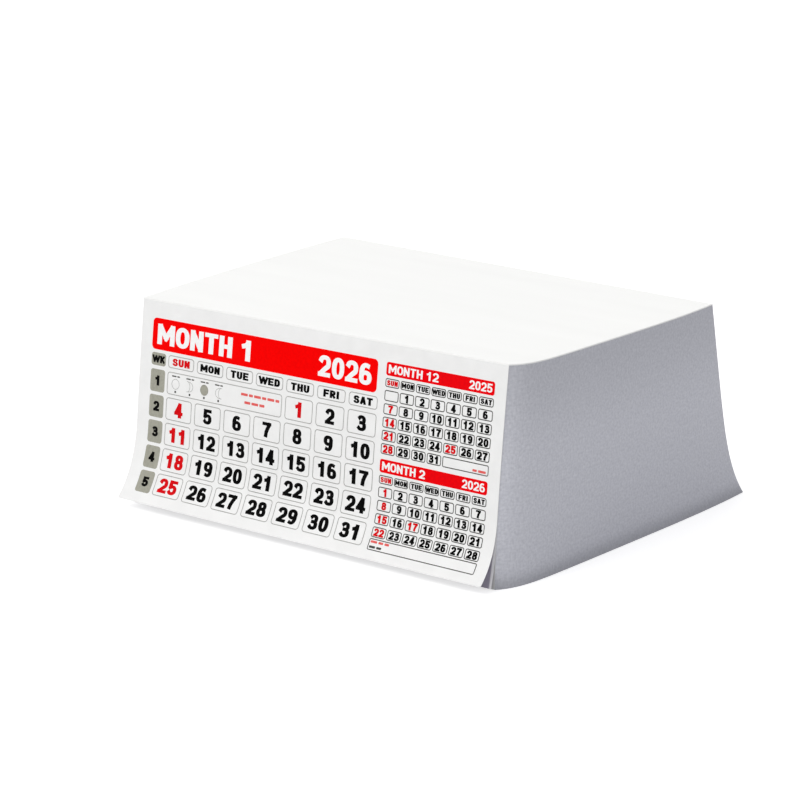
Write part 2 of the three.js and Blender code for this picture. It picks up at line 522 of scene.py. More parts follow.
class LeafCurve:
    """The bent face of a loose leaf, which takes flat places on the sheet to places in space."""

    COLUMNS = 61
    ROWS = 401

    def __init__(self, pile: PileShape, stand_off: float, peel: Peel) -> None:
        """Follows the leaf down its own length so that the sheet isn't stretched.

        Args:
            pile: the pile that the leaf belongs to.
            stand_off: the gap between the leaf's back and the pile.
            peel: how the leaf has come away.
        """
        self.pile = pile
        across = np.linspace(0, 1, self.COLUMNS)[None, :]
        distance = np.linspace(0, pile.leaf_height, self.ROWS)[:, None]
        length = peel.length_left + (peel.length_right - peel.length_left) * across
        reach = peel.reach_left + (peel.reach_right - peel.reach_left) * across
        reach = reach - 4 * across * (1 - across) * peel.middle_slack
        peeled = np.clip((distance - pile.leaf_height + length) / length, 0, None)
        forward = stand_off + pile.front_spread(distance / pile.leaf_height) + reach * peeled**peel.power
        step = pile.leaf_height / (self.ROWS - 1)
        slope = np.gradient(forward, step, axis=0)
        drop = np.sqrt(1 - slope**2)
        falls = np.cumsum((drop[1:] + drop[:-1]) / 2 * step, axis=0)
        fallen = np.vstack([np.zeros((1, self.COLUMNS)), falls])
        self.table = np.stack([-pile.depth / 2 - forward, pile.leaf_height - fallen, -drop, slope], axis=-1)

    def lay(self, flat: Points) -> Points:
        """Lays flat points on the leaf.

        Args:
            flat: x from the left edge, y down from the top as a negative number, z out from the leaf's back.

        Returns:
            Points in the row frame, in millimetres.
        """
        column = np.clip(flat[:, 0] / self.pile.leaf_width, 0, 1) * (self.COLUMNS - 1)
        row = np.clip(-flat[:, 1] / self.pile.leaf_height, 0, 1) * (self.ROWS - 1)
        c = np.minimum(column.astype(int), self.COLUMNS - 2)
        r = np.minimum(row.astype(int), self.ROWS - 2)
        s, t = (column - c)[:, None], (row - r)[:, None]
        upper = self.table[r, c] * (1 - s) + self.table[r, c + 1] * s
        lower = self.table[r + 1, c] * (1 - s) + self.table[r + 1, c + 1] * s
        y, z, normal_y, normal_z = (upper * (1 - t) + lower * t).T
        x, lift = flat[:, 0] - self.pile.leaf_width / 2, flat[:, 2]
        return np.column_stack([x, y + lift * normal_y, z + lift * normal_z])


def tree_input(tree: bpy.types.NodeTree, name: str, kind: str) -> None:
    """Adds a named input to a geometry tree."""
    tree.interface.new_socket(name=name, in_out="INPUT", socket_type=kind)


def grown(
    source: bpy.types.Mesh, tree: bpy.types.NodeTree, values: dict[str, object], name: str
) -> bpy.types.Mesh:
    """Runs a geometry tree on a mesh and returns the result as a plain mesh.

    Args:
        source: the mesh to start from.
        tree: the geometry tree.
        values: values by input name.
        name: the name of the new mesh.

    Returns:
        The evaluated mesh, free of the modifier.
    """
    carrier = bpy.data.objects.new(name, source)
    bpy.context.scene.collection.objects.link(carrier)
    modifier = carrier.modifiers.new(tree.name, "NODES")
    modifier.node_group = tree
    for item in tree.interface.items_tree:
        if item.item_type == "SOCKET" and item.in_out == "INPUT" and item.name in values:
            modifier[item.identifier] = values[item.name]
    depsgraph = bpy.context.evaluated_depsgraph_get()
    mesh = bpy.data.meshes.new_from_object(
        carrier.evaluated_get(depsgraph), preserve_all_data_layers=True, depsgraph=depsgraph
    )
    mesh.name = name
    bpy.data.objects.remove(carrier)
    return mesh


@dataclass(frozen=True)
class LeafPile:
    """All the bound leaves, whose trimmed edges stand a little unevenly at both ends and at the foot."""

    shape: PileShape
    leaf_groups: int = 210
    height_steps: int = 30
    width_steps: int = 12
    unevenness: float = 0.025
    seed: int = 7
    end_shift: float = 40.0

    def uneven_edges(self) -> bpy.types.NodeTree:
        """Builds the tree that sets each group of leaves back by its own small amount.

        Returns:
            The geometry tree.
        """
        tree = bpy.data.node_groups.new("Uneven leaf edges", "GeometryNodeTree")
        tree_input(tree, "Pile", "NodeSocketGeometry")
        tree_input(tree, "Unevenness", "NodeSocketFloat")
        tree_input(tree, "Seed", "NodeSocketInt")
        tree_input(tree, "Edges", "NodeSocketMaterial")
        tree_input(tree, "Sheet", "NodeSocketMaterial")
        tree.interface.new_socket(name="Pile", in_out="OUTPUT", socket_type="NodeSocketGeometry")
        given = add_node(tree, "NodeGroupInput").outputs
        group, back, sheet = (
            add_node(tree, "GeometryNodeInputNamedAttribute", {"data_type": kind}, Name=name)
            for name, kind in (("leaf_group", "INT"), ("set_back", "FLOAT_VECTOR"), ("is_sheet", "BOOLEAN"))
        )
        amount = add_node(
            tree,
            "FunctionNodeRandomValue",
            n3=given["Unevenness"],
            ID=group.outputs[0],
            Seed=given["Seed"],
        )
        scale = {"operation": "SCALE"}
        offset = add_node(
            tree, "ShaderNodeVectorMath", scale, Vector=back.outputs[0], Scale=amount.outputs[1]
        )
        moved = add_node(tree, "GeometryNodeSetPosition", Geometry=given["Pile"], Offset=offset.outputs[0])
        real = add_node(tree, "GeometryNodeRealizeInstances", Geometry=moved.outputs[0])
        edges = add_node(tree, "GeometryNodeSetMaterial", Geometry=real.outputs[0], Material=given["Edges"])
        both = add_node(
            tree,
            "GeometryNodeSetMaterial",
            Geometry=edges.outputs[0],
            Selection=sheet.outputs[0],
            Material=given["Sheet"],
        )
        add_node(tree, "NodeGroupOutput", Pile=both.outputs[0])
        return tree

    def source(self) -> bpy.types.Mesh:
        """Makes the smooth pile and marks its leaf groups, its outer sheets and how its edges set back.

        Returns:
            The mesh, with the values that the tree reads.
        """
        shares, faces = box_surface(self.width_steps, self.leaf_groups, self.height_steps)
        mesh = make_mesh("smooth_pile", self.shape.place(shares), faces)
        across, inward, down = shares.T
        group = mesh.attributes.new("leaf_group", "INT", "POINT")
        group.data.foreach_set("value", np.rint(inward * self.leaf_groups).astype(np.int32))
        inward_at_ends = (across == 0) * 1.0 - (across == 1) * 1.0
        set_back = np.column_stack([inward_at_ends, np.zeros(len(shares)), (down == 1) * 1.0])
        mesh.attributes.new("set_back", "FLOAT_VECTOR", "POINT").data.foreach_set("vector", set_back.ravel())
        corners = np.array(faces)
        first_or_last = [(inward[corners] == end).all(axis=1) for end in (0, 1)]
        sheet = mesh.attributes.new("is_sheet", "BOOLEAN", "FACE")
        sheet.data.foreach_set("value", np.logical_or(*first_or_last))
        leaf_map = mesh.uv_layers.new(name="leaf_map")
        down_leaf = down * self.shape.leaf_height + across * self.end_shift
        along = np.column_stack([inward * self.shape.depth, down_leaf]) * MM
        leaf_map.data.foreach_set("uv", along[corners.ravel()].ravel())
        return mesh

    def build(self, edges: bpy.types.Material, paper: bpy.types.Material) -> bpy.types.Object:
        """Builds the pile and lets it stand for the CAD one.

        Args:
            edges: the finish of the trimmed edges.
            paper: the finish of the first and last sheet.

        Returns:
            The piece.
        """
        values = {"Unevenness": self.unevenness * MM, "Seed": self.seed, "Edges": edges, "Sheet": paper}
        mesh = grown(self.source(), self.uneven_edges(), values, "leaf_pile_edges")
        smooth(mesh)
        return make_piece("leaf_pile_edges", mesh, "leaf_edges", "leaf_pile")


@dataclass(frozen=True)
class LooseLeaf:
    """A thin leaf that has come away from the pile at its foot."""

    name: str
    node: str
    curve: LeafCurve
    thickness: float = 0.1
    columns: int = 48
    rows: int = 90

    def build(self, paper: bpy.types.Material) -> bpy.types.Object:
        """Builds the leaf and lets it stand for the CAD one.

        Args:
            paper: the finish of the leaf.

        Returns:
            The piece.
        """
        shares, faces = box_surface(self.columns, 1, self.rows)
        across, inward, down = shares.T
        size, out = self.curve.pile, self.thickness * (1 - inward)
        flat = np.column_stack([across * size.leaf_width, -down * size.leaf_height, out])
        mesh = make_mesh(self.name, self.curve.lay(flat), faces)
        mesh.materials.append(paper)
        smooth(mesh)
        return make_piece(self.name, mesh, "paper", self.node)


@dataclass(frozen=True)
class GlueFilm:
    """The film of padding glue over the pile's top, which reaches forward over the loose leaves."""

    shape: PileShape
    thickness: float = 0.35
    clearance: float = 0.02
    reach: float = 0.3
    width_steps: int = 24
    depth_steps: int = 120
    height_steps: int = 2

    def build(self, glue: bpy.types.Material) -> bpy.types.Object:
        """Builds the film and lets it stand for the CAD one.

        Args:
            glue: the finish of the glue.

        Returns:
            The piece.
        """
        shares, faces = box_surface(self.width_steps, self.depth_steps, self.height_steps)
        across, inward, down = shares.T
        y = self.shape.depth * (inward - 0.5) - self.reach * (1 - inward)
        z = self.shape.top(across, inward) + self.clearance + self.thickness * (1 - down)
        mesh = make_mesh("padding_glue", np.column_stack([self.shape.place_x(across, inward), y, z]), faces)
        mesh.materials.append(glue)
        smooth(mesh)
        return make_piece("padding_glue", mesh, "padding_glue", "glue_film")


# The print


@dataclass(frozen=True)
class CellRuns:
    """Evenly spaced cells in rows and columns, ruled with a thin line and round at the corners."""

    left: float
    top: float
    width: float
    height: float
    column_pitch: float = 0.0
    row_pitch: float = 0.0
    columns: int = 1
    rows: int = 1
    skip_first: int = 0
    skip_last: int = 0
    corner: float = 0.9
    line: float = 0.25

    def centre(self, column: int, row: int) -> tuple[float, float]:
        """The flat place of a cell's middle."""
        x = self.left + self.width / 2 + column * self.column_pitch
        return x, -(self.top + self.height / 2 + row * self.row_pitch)


class CellRuler:
    """Draws cell outlines with one geometry tree and lays them on the leaf."""

    LENGTHS = ("Left", "Top", "Width", "Height", "Column pitch", "Row pitch", "Corner", "Line", "Depth")
    COUNTS = ("Columns", "Rows", "Skip first", "Skip last")
    CORNER_STEPS = 5
    LINE_STEP = 0.35

    def __init__(self, curve: LeafCurve, lift: float, depth: float) -> None:
        """Keeps the leaf to draw on, and how high and how thick the ink stands on it."""
        self.curve, self.lift, self.depth = curve, lift, depth
        self.tree = self.ruled_cells()

    def ruled_cells(self) -> bpy.types.NodeTree:
        """Builds the tree: one rounded outline, set at the middle of every cell that is wanted.

        Returns:
            The geometry tree.
        """
        tree = bpy.data.node_groups.new("Ruled cells", "GeometryNodeTree")
        tree_input(tree, "Cells", "NodeSocketGeometry")
        for name in self.LENGTHS:
            tree_input(tree, name, "NodeSocketFloat")
        for name in self.COUNTS:
            tree_input(tree, name, "NodeSocketInt")
        tree_input(tree, "Ink", "NodeSocketMaterial")
        tree.interface.new_socket(name="Cells", in_out="OUTPUT", socket_type="NodeSocketGeometry")
        given = add_node(tree, "NodeGroupInput").outputs

        def calc(operation: str, *terms: object) -> bpy.types.NodeSocket:
            """One step of arithmetic."""
            inputs = {f"n{i}": term for i, term in enumerate(terms)}
            return add_node(tree, "ShaderNodeMath", {"operation": operation}, **inputs).outputs["Value"]

        index = add_node(tree, "GeometryNodeInputIndex").outputs["Index"]
        column = calc("FLOORED_MODULO", index, given["Columns"])
        row = calc("FLOOR", calc("DIVIDE", calc("ADD", index, 0.25), given["Columns"]))
        first_x = calc("MULTIPLY_ADD", given["Width"], 0.5, given["Left"])
        first_y = calc("MULTIPLY_ADD", given["Height"], 0.5, given["Top"])
        x = calc("MULTIPLY_ADD", column, given["Column pitch"], first_x)
        y = calc("MULTIPLY_ADD", row, given["Row pitch"], first_y)
        spot = add_node(tree, "ShaderNodeCombineXYZ", X=x, Y=calc("MULTIPLY", y, -1.0))
        count = calc("MULTIPLY", given["Columns"], given["Rows"])
        spots = add_node(tree, "GeometryNodePoints", Count=count, Position=spot.outputs["Vector"])
        wanted = calc(
            "MULTIPLY",
            calc("GREATER_THAN", calc("ADD", index, 0.5), given["Skip first"]),
            calc("LESS_THAN", calc("ADD", index, 0.5), calc("SUBTRACT", count, given["Skip last"])),
        )
        outline = add_node(
            tree,
            "GeometryNodeCurvePrimitiveQuadrilateral",
            Width=calc("SUBTRACT", given["Width"], given["Line"]),
            Height=calc("SUBTRACT", given["Height"], given["Line"]),
        )
        rounded = add_node(
            tree,
            "GeometryNodeFilletCurve",
            {"mode": "POLY"},
            Curve=outline.outputs[0],
            Radius=given["Corner"],
            Count=self.CORNER_STEPS,
        )
        section = add_node(
            tree, "GeometryNodeCurvePrimitiveQuadrilateral", Width=given["Line"], Height=given["Depth"]
        )
        fine = add_node(
            tree,
            "GeometryNodeResampleCurve",
            {"mode": "LENGTH"},
            Curve=rounded.outputs[0],
            Length=self.LINE_STEP,
        )
        swept = add_node(
            tree, "GeometryNodeCurveToMesh", Curve=fine.outputs[0], Profile_Curve=section.outputs[0]
        )
        cells = add_node(
            tree,
            "GeometryNodeInstanceOnPoints",
            Points=spots.outputs[0],
            Instance=swept.outputs[0],
            Selection=wanted,
        )
        real = add_node(tree, "GeometryNodeRealizeInstances", Geometry=cells.outputs[0])
        inked = add_node(tree, "GeometryNodeSetMaterial", Geometry=real.outputs[0], Material=given["Ink"])
        add_node(tree, "NodeGroupOutput", Cells=inked.outputs[0])
        return tree

    def draw(self, name: str, runs: Sequence[CellRuns], ink: bpy.types.Material) -> bpy.types.Mesh:
        """Draws several runs of cells as one mesh on the leaf.

        Args:
            name: the mesh's name.
            runs: the runs of cells.
            ink: the finish of the lines.

        Returns:
            The mesh, in place.
        """
        sheet = bmesh.new()
        for run in runs:
            sizes = (run.left, run.top, run.width, run.height, run.column_pitch, run.row_pitch)
            values = dict(zip(self.LENGTHS, map(float, (*sizes, run.corner, run.line, self.depth))))
            values.update(zip(self.COUNTS, (run.columns, run.rows, run.skip_first, run.skip_last)))
            flat = grown(bpy.data.meshes.new("no_cells"), self.tree, {**values, "Ink": ink}, name)
            sheet.from_mesh(flat)
            bpy.data.meshes.remove(flat)
        bmesh.ops.recalc_face_normals(sheet, faces=sheet.faces)
        mesh = bpy.data.meshes.new(name)
        sheet.to_mesh(mesh)
        sheet.free()
        flat = np.zeros(len(mesh.vertices) * 3)
        mesh.vertices.foreach_get("co", flat)
        flat = flat.reshape(-1, 3) + (0, 0, self.lift + self.depth / 2)
        mesh.vertices.foreach_set("co", (self.curve.lay(flat) * MM).ravel())
        mesh.materials.clear()
        mesh.materials.append(ink)
        mesh.update()
        return mesh


@dataclass(frozen=True)
class SolidField:
    """A solid printed area with round corners."""

    left: float
    top: float
    width: float
    height: float
    corner: float
    columns: int = 40
    rows: int = 44

    def flat(self, lift: float, depth: float) -> tuple[Points, Faces]:
        """Makes the area flat, as a thin closed plate.

        Args:
            lift: how high the ink's back stands over the leaf's back.
            depth: the ink's thickness.

        Returns:
            Flat points, and faces.
        """
        shares, faces = box_surface(self.columns, 1, self.rows)
        across, inward, down = shares.T
        eased = (1 - np.cos(np.pi * down)) / 2
        from_end = np.minimum(eased, 1 - eased) * self.height
        short = np.clip(self.corner - from_end, 0, None)
        inset = self.corner - np.sqrt(np.clip(self.corner**2 - short**2, 0, None))
        x = self.left + inset + (self.width - 2 * inset) * across
        return np.column_stack([x, -self.top - self.height * eased, lift + depth * (1 - inward)]), faces


@dataclass(frozen=True)
class SmallPrint:
    """A line of print too small to read, as a row of dashes of uneven length."""

    left: float
    middle: float
    length: float
    height: float = 0.8
    word_gap: float = 0.5
    shortest: float = 1.3
    variation: float = 1.5
    wave: float = 2.3
    corner: float = 0.2

    def dashes(self) -> list[SolidField]:
        """Splits the line into dashes from its left end.

        Returns:
            The dashes.
        """
        fields, start, top = [], 0.0, self.middle - self.height / 2
        while start < self.length:
            uneven = self.shortest + self.variation * abs(math.sin(self.wave * start + self.middle))
            word = min(uneven, self.length - start)
            corner = min(self.corner, word / 2)
            left = self.left + start
            fields.append(SolidField(left, top, word, self.height, corner, columns=6, rows=8))
            start += word + self.word_gap
        return fields


Stroke = tuple[Points, bool]
BEND_POINTS = 33
SQUARENESS = 0.86


def bend(
    x: float, y: float, half_width: float, half_height: float, start: float = 0, end: float = 360
) -> Stroke:
    """A pen stroke round part of a squarish oval, closed where it goes all the way round.

    Args:
        x: the oval's middle, as a share of the character's width.
        y: the same, as a share of its height from the bottom.
        half_width: half its width.
        half_height: half its height.
        start: the angle where it starts, in degrees from the right.
        end: the angle where it ends.

    Returns:
        The stroke's middle line, and whether it is closed.
    """
    closed = abs(end - start) >= 360
    turn = np.radians(np.linspace(start, end, BEND_POINTS)[: BEND_POINTS - closed])
    level, upright = (np.sign(part) * np.abs(part) ** SQUARENESS for part in (np.cos(turn), np.sin(turn)))
    return np.column_stack([x + half_width * level, y + half_height * upright]), closed


def line(*corners: tuple[float, float]) -> Stroke:
    """A pen stroke through corners, given as shares of the character's width and height."""
    return np.array(corners), False


def upside_down(strokes: Sequence[Stroke]) -> tuple[Stroke, ...]:
    """Turns a character's strokes half round."""
    return tuple((1 - points, closed) for points, closed in strokes)


def joined(*strokes: Stroke) -> Stroke:
    """Runs several open strokes into one."""
    return np.vstack([points for points, _ in strokes]), False


@dataclass(frozen=True)
class LetterStyle:
    """How lettering is set: its height, its stretch sideways, and the pen as shares of its height."""

    height: float
    stretch: float = 1.0
    pen: tuple[float, float] = (0.29, 0.2)


class BoldLettering:
    """Plain bold numerals and capitals, each drawn with strokes of a broad pen that ends square.

    A stroke's places are shares of the room that the pen's middle has, so 0 and 1 bring it to the edges.
    Widths and gaps are shares of a character's height, and numerals are all as wide as each other.
    """

    BOWL = line((0.0, 0.0), (0.4, 0.0)), bend(0.4, 0.5, 0.6, 0.5, -90, 90), line((0.0, 1.0))
    CRESCENT = (bend(0.0, 0.5, 1.0, 0.5, -90, 90), bend(0.0, 0.5, 0.5, 0.5, -90, 90))
    SIX = (bend(0.5, 0.285, 0.5, 0.285), joined(bend(0.52, 0.5, 0.52, 0.5, 74, 180), line((0.0, 0.285))))
    LEFT_STEM, RIGHT_STEM = line((0.0, 0.0), (0.0, 1.0)), line((1.0, 0.0), (1.0, 1.0))
    TOP_BAR, FOOT_BAR = line((0.0, 1.0), (1.0, 1.0)), line((0.0, 0.0), (1.0, 0.0))
    STROKES = {
        " ": (),
        ")": CRESCENT,
        "(": upside_down(CRESCENT),
        "0": (bend(0.5, 0.5, 0.5, 0.5),),
        "1": (line((0.64, 0.0), (0.64, 1.0)), line((0.16, 0.76), (0.38, 0.8), (0.54, 0.92))),
        "2": (joined(bend(0.5, 0.69, 0.5, 0.31, 155, -38), line((0.5, 0.3), (0.2, 0.13))), FOOT_BAR),
        "3": (
            bend(0.47, 0.765, 0.43, 0.235, 140, -90),
            bend(0.48, 0.265, 0.52, 0.265, 90, -140),
            line((0.42, 0.53), (0.5, 0.53)),
        ),
        "4": (
            line((0.74, 0.0), (0.74, 1.0)),
            line((0.0, 0.24), (1.0, 0.24)),
            line((0.66, 0.96), (0.06, 0.32)),
        ),
        "5": (
            line((0.1, 1.0), (0.95, 1.0)),
            line((0.1, 0.96), (0.06, 0.54)),
            bend(0.47, 0.3, 0.53, 0.3, 130, -140),
        ),
        "6": SIX,
        "7": (TOP_BAR, line((0.98, 0.96), (0.66, 0.62), (0.44, 0.3), (0.38, 0.02))),
        "8": (bend(0.5, 0.77, 0.42, 0.23), bend(0.5, 0.26, 0.5, 0.26)),
        "9": upside_down(SIX),
        "A": (
            line((0.0, 0.0), (0.42, 0.98)),
            line((1.0, 0.0), (0.58, 0.98)),
            line((0.25, 0.26), (0.75, 0.26)),
        ),
        "D": (LEFT_STEM, joined(*BOWL)),
        "E": (LEFT_STEM, TOP_BAR, FOOT_BAR, line((0.0, 0.5), (0.85, 0.5))),
        "F": (LEFT_STEM, TOP_BAR, line((0.0, 0.48), (0.8, 0.48))),
        "H": (LEFT_STEM, RIGHT_STEM, line((0.0, 0.5), (1.0, 0.5))),
        "I": (line((0.5, 0.0), (0.5, 1.0)),),
        "K": (LEFT_STEM, line((0.1, 0.36), (0.96, 0.98)), line((0.4, 0.56), (1.0, 0.02))),
        "M": (LEFT_STEM, RIGHT_STEM, line((0.06, 0.95), (0.5, 0.3)), line((0.94, 0.95), (0.5, 0.3))),
        "N": (LEFT_STEM, RIGHT_STEM, line((0.06, 0.94), (0.94, 0.06))),
        "O": (bend(0.5, 0.5, 0.56, 0.5),),
        "R": (
            LEFT_STEM,
            joined(line((0.0, 1.0), (0.5, 1.0)), bend(0.5, 0.75, 0.46, 0.25, 90, -90), line((0.0, 0.5))),
            line((0.5, 0.45), (0.96, 0.02)),
        ),
        "S": (joined(bend(0.5, 0.765, 0.46, 0.235, 35, 245), bend(0.5, 0.25, 0.5, 0.25, 65, -150)),),
        "T": (TOP_BAR, line((0.5, 0.0), (0.5, 1.0))),
        "U": (joined(line((0.0, 1.0), (0.0, 0.45)), bend(0.5, 0.4, 0.5, 0.4, 180, 360), line((1.0, 1.0))),),
        "W": (
            line((-0.1, 1.0), (0.2, 0.02)),
            line((0.2, 0.02), (0.5, 0.94)),
            line((0.5, 0.94), (0.8, 0.02)),
            line((0.8, 0.02), (1.1, 1.0)),
        ),
    }

    WIDTHS = {"M": 1.08, "W": 1.2, "I": 0.4, " ": 0.3}
    WIDTH = 0.8
    GAP = 0.09
    MITRE_LIMIT = 0.3
    STROKE_LIFT = 0.1

    def __init__(self, style: LetterStyle) -> None:
        """Keeps the style and the thickness of upright and of level strokes."""
        self.style, self.pen = style, np.array(style.pen)

    def ribbon(self, stroke: Stroke, width: float, lift: float) -> tuple[Points, Faces]:
        """Gives a stroke its thickness, as a closed strip one unit deep.

        Args:
            stroke: its middle line in shares, and whether it is closed.
            width: the character's width.
            lift: how much its front stands over other strokes, so that crossing ones don't coincide.

        Returns:
            Points in heights of a character, and faces.
        """
        shares, closed = stroke
        middle = self.pen / 2 + shares * (np.array([width, 1.0]) - self.pen)
        if not closed:
            for end, inner in ((0, 1), (-1, -2)):
                outward = (middle[end] - middle[inner]) / np.linalg.norm(middle[end] - middle[inner])
                middle[end] += outward * np.linalg.norm(outward * self.pen) / 2
        ahead = np.roll(middle, -1, axis=0) - middle
        behind = middle - np.roll(middle, 1, axis=0)
        if not closed:
            ahead[-1], behind[0] = behind[-1], ahead[0]
        turned = [
            step[:, ::-1] * (-1, 1) / np.linalg.norm(step, axis=1, keepdims=True) for step in (ahead, behind)
        ]
        normal = sum(turned) / 2
        normal /= np.sum(normal**2, axis=1, keepdims=True).clip(self.MITRE_LIMIT)
        half = np.linalg.norm(self.pen * normal / np.linalg.norm(normal, axis=1, keepdims=True), axis=1) / 2
        edges = [middle + normal * half[:, None] * side for side in (1, -1)]
        count = len(middle)
        points = np.vstack(
            [np.column_stack([edge, np.full(count, z)]) for z in (0.0, 1.0 + lift) for edge in edges]
        )
        left_back, right_back, left_front, right_front = (k * count for k in range(4))
        faces, last = [], count - 1
        for i in range(count if closed else last):
            j = (i + 1) % count
            faces += [
                (left_front + i, right_front + i, right_front + j, left_front + j),
                (left_back + i, left_back + j, right_back + j, right_back + i),
                (left_back + i, left_front + i, left_front + j, left_back + j),
                (right_back + i, right_back + j, right_front + j, right_front + i),
            ]
        if not closed:
            faces += [
                (left_back, right_back, right_front, left_front),
                (left_back + last, left_front + last, right_front + last, right_back + last),
            ]
        return points, faces

    def set(self, words: str, x: float, y: float, lift: float, depth: float) -> tuple[Points, Faces]:
        """Sets some characters flat on the leaf.

        Args:
            words: the characters.
            x: the flat place of their middle.
            y: the same, as a negative number downwards.
            lift: how high the ink's back stands over the leaf's back.
            depth: the ink's thickness.

        Returns:
            Flat points, and faces.
        """
        points, faces, start = [], [], 0
        height, wide = self.style.height, self.style.height * self.style.stretch
        widths = [self.WIDTHS.get(character, self.WIDTH) for character in words]
        lefts = np.cumsum([0.0] + [width + self.GAP for width in widths])
        middle = (lefts[-1] - self.GAP) / 2
        for character, width, left in zip(words, widths, lefts - middle):
            for order, stroke in enumerate(self.STROKES[character]):
                shape, sides = self.ribbon(stroke, width, self.STROKE_LIFT * order)
                across, up, out = shape.T
                places = (x + (across + left) * wide, y + (up - 0.5) * height, lift + depth * out)
                points.append(np.column_stack(places))
                faces += [tuple(start + i for i in side) for side in sides]
                start += len(shape)
        return np.vstack(points), faces


@dataclass(frozen=True)
class MonthPanel:
    """One month's panel: its red bar, a line of weekday headings and its rows of dates."""

    name: str
    bar: SolidField
    headings: CellRuns
    dates: CellRuns
    notes: tuple[CellRuns, ...]
    month: str
    year: str
    first_cell: int
    days: int
    holidays: tuple[int, ...]
    month_style: LetterStyle
    year_style: LetterStyle
    name_style: LetterStyle
    date_style: LetterStyle
    rule: Ink

    def date_places(self) -> list[tuple[int, float, float, bool]]:
        """Finds the place of every date.

        Returns:
            Each date with the flat place of its cell's middle, and whether it is red.
        """
        places = []
        for day in range(1, self.days + 1):
            row, column = divmod(day - 1 + self.first_cell, self.dates.columns)
            places.append((day, *self.dates.centre(column, row), column == 0 or day in self.holidays))
        return places


@dataclass(frozen=True)
class SideMonth:
    """One of the two small months at the right of the leaf: what it says, and the sizes they share."""

    name: str
    top: float
    row_gap: float
    rows: int
    month: str
    year: str
    first_cell: int
    days: int
    holiday: int
    note_column: int
    note_row: float
    note_extra: float = 0.0
    skip_last: int = 0
    left: float = 100.7
    width: float = 40.1
    cell: float = 5.3
    pitch: float = 5.8
    bar_height: float = 4.0
    bar_corner: float = 0.8
    bar_gap: float = 0.8
    heading_height: float = 2.6
    heading_gap: float = 0.9
    row_height: float = 3.2
    corner: float = 0.5
    note_corner: float = 0.35
    line: float = 0.28

    def panel(self) -> MonthPanel:
        """Lays the month out.

        Returns:
            The panel.
        """
        heading_top = self.top + self.bar_height + self.bar_gap
        rows_top = heading_top + self.heading_height + self.heading_gap
        row_pitch = self.row_height + self.row_gap
        grid = {"column_pitch": self.pitch, "columns": WEEKDAYS, "corner": self.corner, "line": self.line}
        note = CellRuns(
            self.left + self.note_column * self.pitch,
            rows_top + self.note_row * row_pitch,
            (WEEKDAYS - 1 - self.note_column) * self.pitch + self.cell,
            self.row_height + self.note_extra,
            corner=self.note_corner,
            line=self.line,
        )
        return MonthPanel(
            name=self.name,
            bar=SolidField(self.left, self.top, self.width, self.bar_height, self.bar_corner),
            headings=CellRuns(self.left, heading_top, self.cell, self.heading_height, **grid),
            dates=CellRuns(
                self.left,
                rows_top,
                self.cell,
                self.row_height,
                row_pitch=row_pitch,
                rows=self.rows,
                skip_last=self.skip_last,
                **grid,
            ),
            notes=(note,),
            month=self.month,
            year=self.year,
            first_cell=self.first_cell,
            days=self.days,
            holidays=(self.holiday,),
            month_style=LetterStyle(2.55, 1.08, (0.25, 0.18)),
            year_style=LetterStyle(2.55, 0.94, (0.25, 0.18)),
            name_style=LetterStyle(1.55, 1.02, (0.35, 0.25)),
            date_style=LetterStyle(2.38, 0.94, (0.34, 0.25)),
            rule=Ink.FINE_RULE_GREY,
        )


@dataclass(frozen=True)
class MainMonth:
    """The leaf's own month, with a column of week cells at its left."""

    bar: SolidField = SolidField(4.95, 5.2, 92.55, 9.9, 1.5)
    left: float = 12.45
    cell: float = 11.1
    pitch: float = 12.45
    heading_top: float = 16.1
    heading_height: float = 4.0
    rows_top: float = 21.3
    row_height: float = 7.1
    row_pitch: float = 8.12
    rows: int = 5
    first_cell: int = 4
    corner: float = 0.9
    line: float = 0.26
    week_left: float = 5.15
    week_width: float = 6.2

    def week_cells(self) -> CellRuns:
        """The cells of the week numbers, level with the rows of dates."""
        sizes = (self.week_left, self.rows_top, self.week_width, self.row_height)
        return CellRuns(*sizes, row_pitch=self.row_pitch, rows=self.rows)

    def week_heading(self) -> SolidField:
        """The cell over the week numbers, level with the weekday headings."""
        return SolidField(
            self.week_left, self.heading_top, self.week_width, self.heading_height, self.corner
        )

    def panel(self) -> MonthPanel:
        """Lays the month out.

        Returns:
            The panel.
        """
        ruled = {"corner": self.corner, "line": self.line}
        grid = {"column_pitch": self.pitch, "columns": WEEKDAYS, **ruled}
        note_width = self.cell + (self.first_cell - 1) * self.pitch
        return MonthPanel(
            name="month",
            bar=self.bar,
            headings=CellRuns(self.left, self.heading_top, self.cell, self.heading_height, **grid),
            dates=CellRuns(
                self.left,
                self.rows_top,
                self.cell,
                self.row_height,
                row_pitch=self.row_pitch,
                rows=self.rows,
                skip_first=self.first_cell,
                **grid,
            ),
            notes=(CellRuns(self.left, self.rows_top, note_width, self.row_height, **ruled),),
            month="MONTH 1",
            year="2026",
            first_cell=self.first_cell,
            days=31,
            holidays=(1,),
            month_style=LetterStyle(6.4, 1.08),
            year_style=LetterStyle(6.4, 0.94),
            name_style=LetterStyle(2.3, 1.25, (0.34, 0.25)),
            date_style=LetterStyle(4.7, 0.97, (0.32, 0.22)),
            rule=Ink.RULE_GREY,
        )


PREVIOUS_MONTH = SideMonth(
    name="previous_month",
    top=5.3,
    row_gap=0.74,
    rows=5,
    month="MONTH 12",
    year="2025",
    first_cell=1,
    days=31,
    holiday=25,
    note_column=4,
    note_row=4,
    skip_last=3,
)
NEXT_MONTH = SideMonth(
    name="next_month",
    top=34.05,
    row_gap=0.78,
    rows=4,
    month="MONTH 2",
    year="2026",
    first_cell=0,
    days=28,
    holiday=17,
    note_column=0,
    note_row=3.9,
    note_extra=0.35,
)


